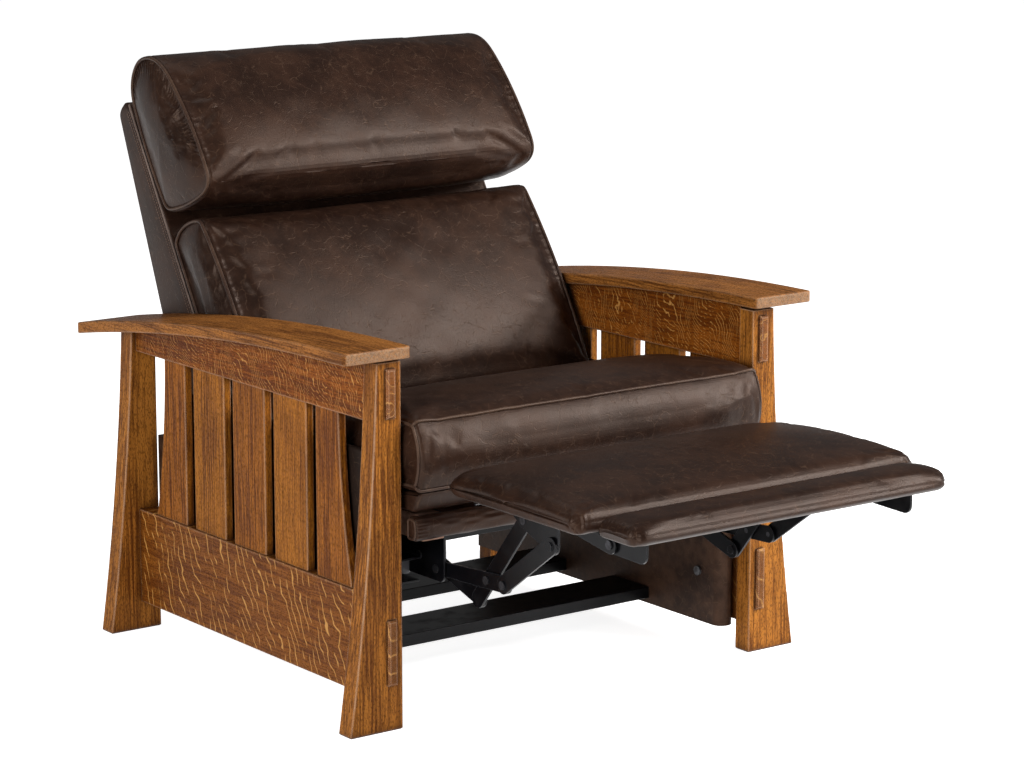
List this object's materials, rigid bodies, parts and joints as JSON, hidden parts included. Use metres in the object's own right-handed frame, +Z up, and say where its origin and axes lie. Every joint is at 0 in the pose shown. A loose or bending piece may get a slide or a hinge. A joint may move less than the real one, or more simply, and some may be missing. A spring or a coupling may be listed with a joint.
{
  "type": "reclining armchair",
  "caption": "Oak reclining armchair with slatted sides, curved arms, leather cushions, a tilting back and a folding linkage footrest.",
  "frame": {"origin": "middle of the bounding box on the floor, in the chair's plane of symmetry", "axes": "+Z up from the floor, -Y the way the sitter faces, +X to the right of someone who looks at the chair's front"},
  "size_m": [0.94, 1.4126, 1.0027],
  "materials": {
    "oak": "satin",
    "seat_wood": "matte",
    "dowel_wood": "matte",
    "leather": "satin",
    "black_paint": "satin",
    "rivet_steel": "satin",
    "nylon": "matte"
  },
  "bodies": {
    "side_frames": {"arm_dowels": "dowel_wood", "arm_left": "oak", "arm_right": "oak", "bottom_rail_left": "oak", "bottom_rail_right": "oak", "cross_rail_front": "black_paint", "cross_rail_rear": "black_paint", "frame_bolts": "rivet_steel", "front_leg_left": "oak", "front_leg_right": "oak", "rear_leg_left": "oak", "rear_leg_right": "oak", "seat_track_left": "black_paint", "seat_track_right": "black_paint", "side_lining_left": "leather", "side_lining_right": "leather", "side_panel_left": "leather", "side_panel_right": "leather", "slat_left_1": "oak", "slat_left_2": "oak", "slat_left_3": "oak", "slat_left_4": "oak", "slat_left_5": "oak", "slat_right_1": "oak", "slat_right_2": "oak", "slat_right_3": "oak", "slat_right_4": "oak", "slat_right_5": "oak", "top_rail_left": "oak", "top_rail_right": "oak"},
    "seat": {"seat_cross_tube": "black_paint", "seat_cushion": "leather", "seat_deck": "leather", "seat_front_rail": "leather", "seat_glides": "nylon", "seat_plate_left": "black_paint", "seat_plate_right": "black_paint", "seat_rear_rail": "seat_wood", "seat_rivets": "rivet_steel", "seat_side_rails": "seat_wood", "seat_slats": "seat_wood", "seat_springs": "rivet_steel"},
    "back": {"back_brackets": "black_paint", "back_cushion": "leather", "back_shell": "leather", "headrest": "leather"},
    "lower_links": {"lower_links": "black_paint", "lower_rivets": "rivet_steel"},
    "short_links": {"short_links": "black_paint"},
    "rear_lifts": {"rear_lift_links": "black_paint"},
    "front_lifts": {"front_lift_links": "black_paint"},
    "footrest": {"footrest_board": "seat_wood", "footrest_brackets": "black_paint", "footrest_pad": "leather", "footrest_rivets": "rivet_steel"},
    "flip_rest": {"flip_board": "seat_wood", "flip_brackets": "black_paint", "flip_pad": "leather"}
  },
  "joints": [
    {"name": "back_recline", "type": "hinge", "parent": "seat", "child": "back", "pos_m": [0, 0.2767, 0.34], "axis": [-1, 0, 0], "range_deg": [-14, 16]},
    {"name": "seat_glide", "type": "slide", "parent": "side_frames", "child": "seat", "axis": [0, -1, 0], "range_m": [-0.0235, 0.0268]},
    {"name": "footrest_fold", "type": "hinge", "parent": "seat", "child": "lower_links", "pos_m": [0, -0.1496, 0.2416], "axis": [1, 0, 0], "range_deg": [0, 149.13]},
    {"name": "short_link_swing", "type": "hinge", "parent": "seat", "child": "short_links", "pos_m": [0, -0.10345, 0.25499], "axis": [1, 0, 0], "range_deg": [0, 116.56]},
    {"name": "rear_lift_swing", "type": "hinge", "parent": "lower_links", "child": "rear_lifts", "pos_m": [0, -0.27735, 0.24917], "axis": [1, 0, 0], "range_deg": [-126.17, 0]},
    {"name": "front_lift_swing", "type": "hinge", "parent": "lower_links", "child": "front_lifts", "pos_m": [0, -0.32606, 0.25205], "axis": [1, 0, 0], "range_deg": [-121.59, 0]},
    {"name": "footrest_tilt", "type": "hinge", "parent": "rear_lifts", "child": "footrest", "pos_m": [0, -0.37083, 0.36339], "axis": [1, 0, 0], "range_deg": [0, 66.85]},
    {"name": "flip_rest_fold", "type": "hinge", "parent": "footrest", "child": "flip_rest", "pos_m": [0, -0.5843, 0.369], "axis": [1, 0, 0], "range_deg": [0, 180.01]}
  ],
  "couplings": [
    {"joint": "seat_glide", "follows": "back_recline", "m_per_rad": 0.0955},
    {"joint": "short_link_swing", "follows": "footrest_fold", "ratio": 0.78156},
    {"joint": "rear_lift_swing", "follows": "footrest_fold", "ratio": -0.846},
    {"joint": "front_lift_swing", "follows": "footrest_fold", "ratio": -0.81526},
    {"joint": "footrest_tilt", "follows": "footrest_fold", "ratio": 0.44822},
    {"joint": "flip_rest_fold", "follows": "footrest_fold", "ratio": 1.207}
  ]
}
